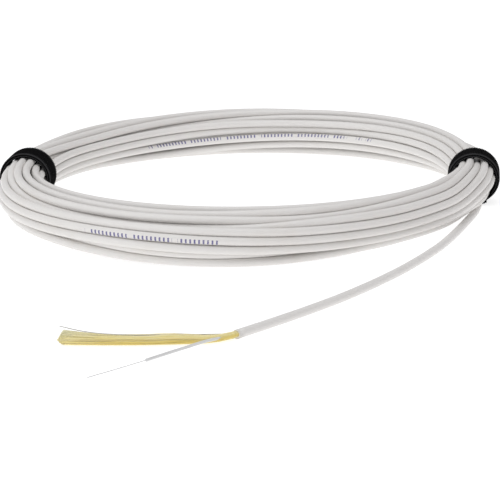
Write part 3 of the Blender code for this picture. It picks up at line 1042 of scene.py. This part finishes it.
def yarn_material(settings):
    """Aramid filaments: silky yellow with paler and rosier ones, the upper ones paler by painted
    light.
    """
    material, tree, shader = new_material("yellow_aramid", Roughness=0.38, Sheen_Weight=0.25,
                                          Sheen_Roughness=0.35, Specular_IOR_Level=0.6)
    _, tone = layer_node(tree, -900, 100, "filament_tone", "each filament's tone")
    place = add_node(tree, "ShaderNodeTexCoord", -900, -200)
    noise = texture_node(tree, "Noise", -700, -200, "uneven dye", place.outputs["Object"],
                         Scale=350.0, Detail=3.0)
    ramp = add_node(tree, "ShaderNodeValToRGB", -450, 200, "yellow to pale")
    ramp.color_ramp.elements[0].color = settings.yarn_deep_colour[:]
    ramp.color_ramp.elements[0].position = 0.1
    ramp.color_ramp.elements[1].color = settings.yarn_pale_colour[:]
    ramp.color_ramp.elements[1].position = 0.95
    middle = ramp.color_ramp.elements.new(0.5)
    middle.color = settings.yarn_colour[:]
    # The filament tone's first value holds the painted light on the upper filaments and their
    # scatter.
    blend = math_node(tree, "MULTIPLY_ADD", -650, 300, noise.outputs["Fac"], 0.3)
    tree.links.new(tone["X"], blend.node.inputs[2])
    shift = math_node(tree, "SUBTRACT", -620, 420, blend, 0.15)
    tree.links.new(shift, ramp.inputs["Fac"])
    colour = shade_mix(tree, -100, 200, tone["Y"], ramp.outputs["Color"],
                       settings.yarn_rose_colour[:])
    colour = shade_mix(tree, 120, 200, tone["Z"], colour, settings.yarn_tip_colour[:])
    tree.links.new(colour, shader.inputs["Base Color"])
    bump(tree, shader, noise.outputs["Fac"], 0.00002, 0.4)
    return material


def strap_material(settings):
    """Black hook-and-loop tape: woven ribs with a nap of fine loops, and painted edge highlights.
    """
    material, tree, shader = new_material("black_strap", Roughness=0.85, Sheen_Weight=0.0,
                                          Specular_IOR_Level=0.04)
    place = add_node(tree, "ShaderNodeTexCoord", -1000, 100)
    ribs = texture_node(tree, "Wave", -580, 260, "ribs", place.outputs["UV"], Scale=440.0,
                        Distortion=1.2, Detail=1.0, Detail_Scale=2.0)
    ribs.bands_direction = "Y"
    rows = texture_node(tree, "Wave", -580, 0, "rows of loops", place.outputs["UV"], Scale=300.0,
                        Distortion=2.0, Detail=1.0, Detail_Scale=3.0)
    rows.bands_direction = "X"
    nap = texture_node(tree, "Noise", -580, -260, "nap", place.outputs["Object"], Scale=5200.0,
                       Detail=3.0, Roughness=0.7)
    both = math_node(tree, "MULTIPLY", -360, 120, ribs.outputs["Fac"], rows.outputs["Fac"])
    height = math_node(tree, "MULTIPLY_ADD", -180, 0, nap.outputs["Fac"], 0.8)
    tree.links.new(both, height.node.inputs[2])
    base = settings.strap_colour[:]
    worn = settings.strap_edge_colour[:]
    lint = add_node(tree, "ShaderNodeMapRange", -360, -260, "lifted nap", From_Min=0.55,
                    From_Max=0.8)
    tree.links.new(nap.outputs["Fac"], lint.inputs["Value"])
    colour = shade_mix(tree, 0, 200, lint.outputs["Result"], base, worn)
    # Painted highlight: a lighter grey on the outer corner of each layer's edge, where light
    # catches.
    _, edge = layer_node(tree, -580, 520, "painted_highlight", "painted highlight near the strap's edges")
    colour = shade_mix(tree, 200, 320, edge["X"], colour, settings.strap_painted_highlight_colour[:])
    tree.links.new(colour, shader.inputs["Base Color"])
    bump(tree, shader, height, 0.00012, 0.8)
    return material


def floor_material(settings):
    """Plain pale floor, a trace uneven."""
    material, tree, shader = new_material("pale_floor", Roughness=0.9, Specular_IOR_Level=0.0)
    place = add_node(tree, "ShaderNodeTexCoord", -700, 0)
    noise = texture_node(tree, "Noise", -500, 0, "faint clouding", place.outputs["Object"],
                         Scale=6.0, Detail=2.0)
    base = settings.floor_colour[:]
    second = tinted(base, 0.992, 0.992, 0.992)
    tree.links.new(shade_mix(tree, -250, 0, noise.outputs["Fac"], base, second),
                   shader.inputs["Base Color"])
    shader.inputs["Emission Color"].default_value = (1.0, 1.0, 1.0, 1.0)
    shader.inputs["Emission Strength"].default_value = settings.floor_glow
    return material


# Settings


def colour_property(name, description, value):
    """A colour setting."""
    return bpy.props.FloatVectorProperty(name=name, description=description, default=value,
                                         subtype="COLOR", size=4, min=0.0, max=1.0)


def length_property(name, description, value, low, high):
    """A length setting, in metres."""
    return bpy.props.FloatProperty(name=name, description=description, default=value, min=low,
                                   max=high, unit="LENGTH", precision=5)


class PatchCordCableSettings(bpy.types.PropertyGroup):
    """Sizes and colours of the cable."""

    diameter: length_property("Cable Diameter", "Outer diameter of the jacket",
                              CABLE_DIAMETER, 0.0016, 0.0032)
    wall: length_property("Jacket Wall", "Thickness of the jacket at the cut end",
                          JACKET_WALL, 0.0002, 0.0008)
    sides: bpy.props.IntProperty(name="Sides", description="Faces round the cable",
                                 default=14, min=8, max=20)
    jacket_colour: colour_property("Jacket Colour", "Colour of the plastic",
                                   (0.80, 0.782, 0.766, 1.0))
    ink_colour: colour_property("Ink Colour", "Colour of the printed ticks",
                                (0.07, 0.065, 0.25, 1.0))
    tick_height: length_property("Tick Height", "Height of the printed ticks", 0.0015,
                                 0.0003, 0.002)
    tick_pitch: length_property("Tick Pitch", "Distance from tick to tick", 0.0014,
                                0.0008, 0.01)


class PatchCordEndSettings(bpy.types.PropertyGroup):
    """Sizes and colours of what comes out of the stripped end."""

    buffer_diameter: length_property("Buffer Diameter", "Outer diameter of the tight buffer",
                                     BUFFER_DIAMETER, 0.0006, 0.0011)
    fibre_diameter: length_property("Fibre Diameter", "Diameter of the coated fibre",
                                    FIBRE_DIAMETER, 0.000125, 0.0004)
    thread_diameter: length_property("Thread Diameter", "Diameter of the twisted thread",
                                     THREAD_DIAMETER, 0.0003, 0.0005)
    filaments: bpy.props.IntProperty(name="Filaments", default=900, min=50, max=1400,
                                     description="Number of modelled yarn filaments")
    filament_diameter: length_property("Filament Diameter", "Thickness of one filament",
                                       0.00012, 0.00005, 0.0003)
    buffer_colour: colour_property("Buffer Colour", "Colour of the tight buffer",
                                   (0.72, 0.72, 0.725, 1.0))
    fibre_colour: colour_property("Fibre Colour", "Colour of the coated fibre",
                                  (0.76, 0.76, 0.77, 1.0))
    thread_colour: colour_property("Thread Colour", "Colour of the thread",
                                   (0.74, 0.73, 0.71, 1.0))
    yarn_colour: colour_property("Yarn Colour", "Main colour of the yarn",
                                 (0.93, 0.80, 0.31, 1.0))
    yarn_deep_colour: colour_property("Yarn Deep Colour", "Colour of its darker filaments",
                                      (0.90, 0.72, 0.20, 1.0))
    # Also the colour that the painted light on the upper filaments leans to.
    yarn_pale_colour: colour_property("Yarn Pale Colour", "Colour of its paler filaments",
                                      (0.94, 0.87, 0.50, 1.0))
    yarn_rose_colour: colour_property("Yarn Rose Colour", "Colour of its beige filaments",
                                      (0.94, 0.78, 0.50, 1.0))
    yarn_tip_colour: colour_property("Yarn Tip Colour", "Colour of the frayed tips",
                                     (0.94, 0.92, 0.64, 1.0))


class PatchCordTieSettings(bpy.types.PropertyGroup):
    """Sizes and colours of the straps."""

    width: length_property("Strap Width", "Width of the strap", STRAP_WIDTH, 0.008, 0.02)
    thickness: length_property("Strap Thickness", "Thickness of the strap",
                               STRAP_THICKNESS, 0.0004, 0.0007)
    rib_pitch: length_property("Rib Pitch", "Distance between the woven ribs",
                               STRAP_RIB_PITCH, 0.0002, 0.001)
    rib_depth: length_property("Rib Depth", "Height of the woven ribs",
                               STRAP_RIB_DEPTH, 0.0, 0.0004)
    strap_colour: colour_property("Strap Colour", "Colour of the tape",
                                  (0.0018, 0.0018, 0.0021, 1.0))
    strap_edge_colour: colour_property("Nap Colour", "Colour of the lifted nap",
                                       (0.0075, 0.0075, 0.008, 1.0))
    # Lighter grey painted on the outer corners of the edges as a highlight.
    strap_painted_highlight_colour: colour_property("Edge Highlight Colour", "Painted highlight on the strap's edges",
                                           (0.05, 0.05, 0.052, 1.0))


class PatchCordStageSettings(bpy.types.PropertyGroup):
    """Camera, floor and light."""

    lens: bpy.props.FloatProperty(name="Lens", description="Focal length of the camera",
                                  default=CAMERA_LENS, min=20.0, max=400.0, unit="CAMERA")
    floor_colour: colour_property("Floor Colour", "Colour of the floor",
                                  (0.42, 0.42, 0.42, 1.0))
    floor_glow: bpy.props.FloatProperty(name="Floor Glow", default=0.80, min=0.0, max=2.0,
                                        description="Light that comes up through the floor")
    sky: bpy.props.FloatProperty(name="Sky Light", description="Strength of the light all round",
                                 default=0.52, min=0.0, max=5.0, subtype="FACTOR")
    lamp: bpy.props.FloatProperty(name="Soft Lamp", description="Power of the overhead lamp",
                                  default=6.2, min=0.0, max=500.0, unit="POWER")


class PatchCordSettings(bpy.types.PropertyGroup):
    """Everything that a user may change."""

    cable: bpy.props.PointerProperty(type=PatchCordCableSettings, name="Cable",
                                     description="The cable")
    end: bpy.props.PointerProperty(type=PatchCordEndSettings, name="Stripped End",
                                   description="The stripped end")
    tie: bpy.props.PointerProperty(type=PatchCordTieSettings, name="Straps",
                                   description="The straps")
    stage: bpy.props.PointerProperty(type=PatchCordStageSettings, name="Stage",
                                     description="Camera, floor and light")


# Operators


class PATCHCORD_OT_stage(bpy.types.Operator):
    """Set up the camera, a plain pale floor and soft light"""

    bl_idname = "patchcord.stage"
    bl_label = "Stage"

    def execute(self, context):
        settings = context.scene.patch_cord.stage
        camera = bpy.data.objects.new("camera", bpy.data.cameras.new("camera"))
        camera.data.lens = settings.lens
        camera.data.sensor_width = SENSOR_WIDTH
        camera.data.clip_start = 0.01
        camera.data.clip_end = 50.0
        camera.location = CAMERA_PLACE
        camera.rotation_euler = (math.pi / 2 - CAMERA_PITCH, 0.0, 0.0)
        context.scene.collection.objects.link(camera)
        context.scene.camera = camera

        bm = bmesh.new()
        bmesh.ops.create_grid(bm, x_segments=8, y_segments=8, size=FLOOR_REACH)
        mesh = bpy.data.meshes.new("floor")
        bm.to_mesh(mesh)
        bm.free()
        mesh.materials.append(floor_material(settings))
        floor = bpy.data.objects.new("floor", mesh)
        context.scene.collection.objects.link(floor)

        world = bpy.data.worlds.new("soft_sky")
        world.use_nodes = True
        sky = world.node_tree.nodes["Background"]
        sky.inputs["Color"].default_value = SKY_COLOUR
        sky.inputs["Strength"].default_value = settings.sky
        context.scene.world = world
        for name, place, aim, size, share in LAMPS:
            light = bpy.data.lights.new(name, "AREA")
            light.shape = "SQUARE"
            light.size = size
            light.energy = settings.lamp * share
            light.color = LAMP_COLOUR
            lamp = bpy.data.objects.new(name, light)
            lamp.location = place
            sight = Vector(aim) - Vector(place)
            lamp.rotation_euler = sight.to_track_quat("-Z", "Y").to_euler()
            context.scene.collection.objects.link(lamp)
        context.scene.view_settings.view_transform = "Standard"
        return {"FINISHED"}


class PATCHCORD_OT_cable(bpy.types.Operator):
    """Wind the cable: its hidden end, the turns of the coil and the free length"""

    bl_idname = "patchcord.cable"
    bl_label = "Cable"

    def execute(self, context):
        settings = context.scene.patch_cord.cable
        line = cable_line()
        rings = round_rings(line, settings.diameter / 2, settings.sides)
        bm, caps = fold_tubes([rings], math.pi * settings.diameter,
                              jacket_layers(line, settings.diameter / 2, settings.sides))
        for cap in caps:
            bmesh.ops.inset_region(bm, faces=[cap], thickness=RIM_WIDTH, depth=RIM_DEPTH)
            bmesh.ops.inset_region(bm, faces=[cap], thickness=settings.wall - RIM_WIDTH)
            bmesh.ops.inset_region(bm, faces=[cap], thickness=JACKET_BORE_STEP,
                                   depth=-JACKET_BORE_DEPTH)
        finished("cable", bm, jacket_material(settings), "white_jacket", "cable_coil",
                 "cable_tail")
        context.scene["patch_cord_route"] = [float(x) for x in line.ravel()]
        context.scene["patch_cord_length"] = float(lengths_along(line)[-1])
        return {"FINISHED"}


class PATCHCORD_OT_fibre(bpy.types.Operator):
    """Lay the tight-buffered fibre and the bare fibre at its tip"""

    bl_idname = "patchcord.fibre"
    bl_label = "Fibre"

    def execute(self, context):
        settings = context.scene.patch_cord.end
        line = smooth_line(millimetres(BUFFER_ROUTE), BUFFER_STEP)
        rings = round_rings(line, settings.buffer_diameter / 2, BUFFER_SIDES)
        bm, caps = fold_tubes([rings], math.pi * settings.buffer_diameter)
        bmesh.ops.inset_region(bm, faces=[caps[-1]], thickness=BUFFER_END_WALL)
        bmesh.ops.inset_region(bm, faces=[caps[-1]], thickness=BUFFER_BORE_STEP,
                               depth=-BUFFER_BORE_DEPTH)
        buffer = finished("fibre_buffer", bm, buffer_material(settings), "white_buffer",
                          "buffered_fibre")
        bare_line = smooth_line(millimetres(FIBRE_ROUTE), FIBRE_STEP)
        rings = round_rings(bare_line, settings.fibre_diameter / 2, FIBRE_SIDES)
        bm, _ = fold_tubes([rings], math.pi * settings.fibre_diameter)
        bare = finished("fibre_bare", bm, fibre_material(settings), "clear_fibre", "bare_fibre")
        return {"FINISHED"}


class PATCHCORD_OT_thread(bpy.types.Operator):
    """Twist the thin grey thread that lies on the yarn"""

    bl_idname = "patchcord.thread"
    bl_label = "Thread"

    def execute(self, context):
        settings = context.scene.patch_cord.end
        line = smooth_line(millimetres(THREAD_ROUTE), THREAD_STEP)
        _, side, up = directions(line)
        twist = lengths_along(line) * math.tau / THREAD_TWIST
        plies = []
        for ply in range(THREAD_PLIES):
            turn = (twist + ply * math.tau / THREAD_PLIES)[:, None]
            off = side * np.cos(turn) + up * np.sin(turn)
            strand = line + settings.thread_diameter * PLY_OFFSET * off
            radius = settings.thread_diameter * PLY_RADIUS
            plies.append(round_rings(strand, radius, PLY_SIDES))
        bm, _ = fold_tubes(plies, math.tau * settings.thread_diameter * PLY_RADIUS)
        thread = finished("thread", bm, thread_material(settings), "grey_thread", "pull_thread")
        return {"FINISHED"}


class PATCHCORD_OT_yarn(bpy.types.Operator):
    bl_idname = "patchcord.yarn"
    bl_label = "Yarn"

    def execute(self, context):
        settings = context.scene.patch_cord.end
        filaments, tones = yarn_filaments(settings.filaments, settings.filament_diameter)
        bm, _ = fold_tubes(filaments, FILAMENT_SIDES * settings.filament_diameter,
                           {"filament_tone": tones})
        yarn = finished("yarn", bm, yarn_material(settings), "yellow_aramid", "aramid_yarn")

        return {"FINISHED"}


class PATCHCORD_OT_straps(bpy.types.Operator):
    """Wind the two hook-and-loop straps round the bundle"""

    bl_idname = "patchcord.straps"
    bl_label = "Straps"

    def execute(self, context):
        settings = context.scene.patch_cord.tie
        material = strap_material(settings)
        for name, node, angle in (("strap_right", "tie_right", 0.0),
                                  ("strap_left", "tie_left", math.pi)):
            rings, painted_highlight = wound_strap(settings, angle)
            # Each strap carries its painted edge highlight as a layer of the mesh.
            bm, _ = fold_tubes([rings], 2 * settings.width, {"painted_highlight": [painted_highlight]})
            finished(name, bm, material, "black_strap", node)
        return {"FINISHED"}


class PATCHCORD_PT_panel(bpy.types.Panel):
    """Lists the pieces and their settings"""

    bl_idname = "PATCHCORD_PT_panel"
    bl_label = "Patch Cord"
    bl_space_type = "VIEW_3D"
    bl_region_type = "UI"
    bl_category = "Patch Cord"

    def draw(self, context):
        settings = context.scene.patch_cord
        for operator in OPERATORS:
            self.layout.operator(operator.bl_idname)
        for group in (settings.cable, settings.end, settings.tie, settings.stage):
            box = self.layout.box()
            for name in group.__annotations__:
                box.prop(group, name)


OPERATORS = (PATCHCORD_OT_stage, PATCHCORD_OT_cable, PATCHCORD_OT_fibre, PATCHCORD_OT_thread,
             PATCHCORD_OT_yarn, PATCHCORD_OT_straps)
CLASSES = (PatchCordCableSettings, PatchCordEndSettings, PatchCordTieSettings,
           PatchCordStageSettings, PatchCordSettings, *OPERATORS, PATCHCORD_PT_panel)


def register():
    """Registers the classes and the scene's settings."""
    for item in CLASSES:
        bpy.utils.register_class(item)
    bpy.types.Scene.patch_cord = bpy.props.PointerProperty(type=PatchCordSettings)


def unregister():
    """Removes the classes and the scene's settings."""
    del bpy.types.Scene.patch_cord
    for item in reversed(CLASSES):
        bpy.utils.unregister_class(item)


def main():
    """Builds the whole scene."""
    register()
    bpy.ops.patchcord.stage()
    bpy.ops.patchcord.cable()
    bpy.ops.patchcord.fibre()
    bpy.ops.patchcord.thread()
    bpy.ops.patchcord.yarn()
    bpy.ops.patchcord.straps()


if __name__ == "__main__":
    main()
